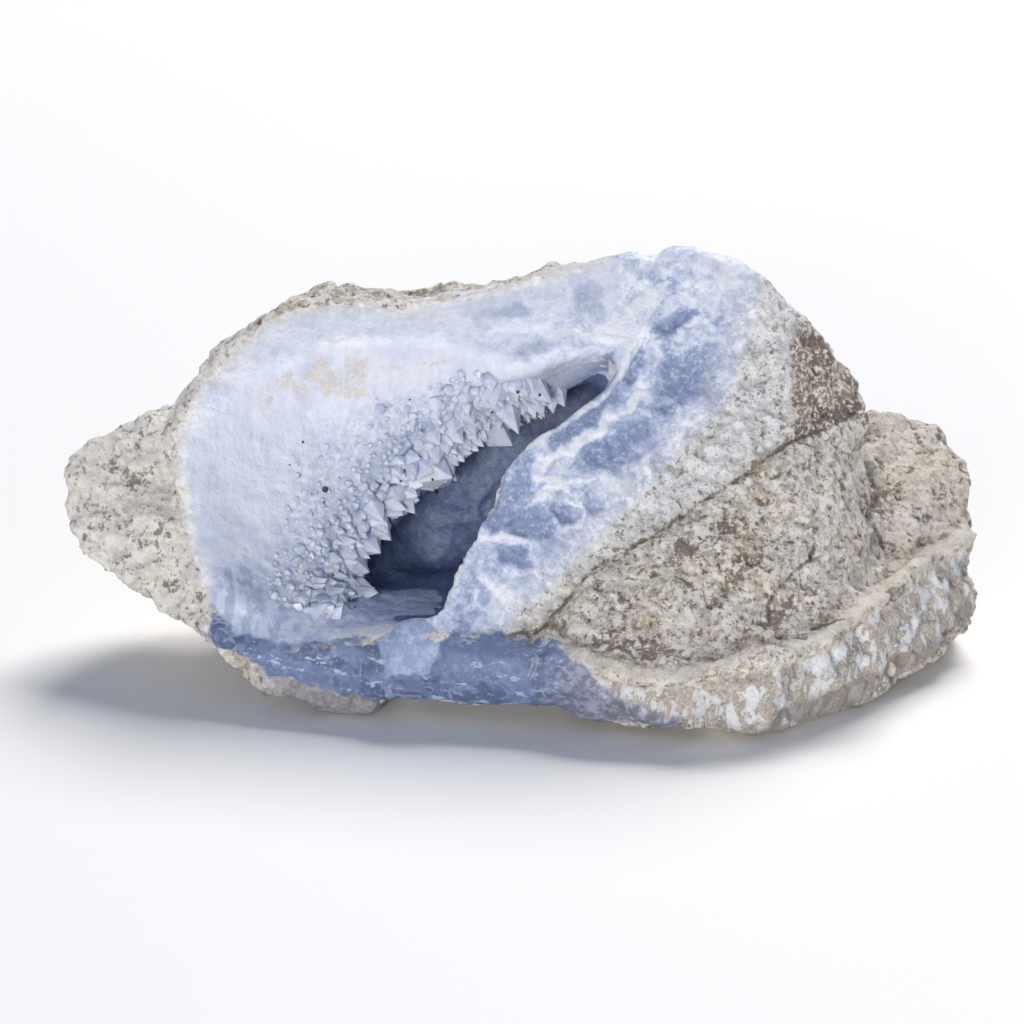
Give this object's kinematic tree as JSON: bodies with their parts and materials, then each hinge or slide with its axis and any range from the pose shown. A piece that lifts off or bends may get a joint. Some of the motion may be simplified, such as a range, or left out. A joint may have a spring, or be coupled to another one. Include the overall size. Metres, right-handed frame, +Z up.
{
  "type": "rough chalcedony",
  "caption": "Broken nodule of rough blue chalcedony in pale rock, open at the front on a deep hollow lined with a crust of quartz points.",
  "frame": {"origin": "middle of the foot of the overall box, on the surface the stone rests on", "axes": "+Z up, +X along the stone's length towards the low shoulder, -Y out of the broken, open face"},
  "size_m": [0.1196, 0.0698, 0.056],
  "materials": {
    "stone": "rough broken rock with satin blue-white chalcedony on the open face",
    "crystal_crust": "milky, glassy quartz points"
  },
  "bodies": {
    "root": {"stone": "stone", "crystal_crust": "crystal_crust"}
  },
  "joints": []
}
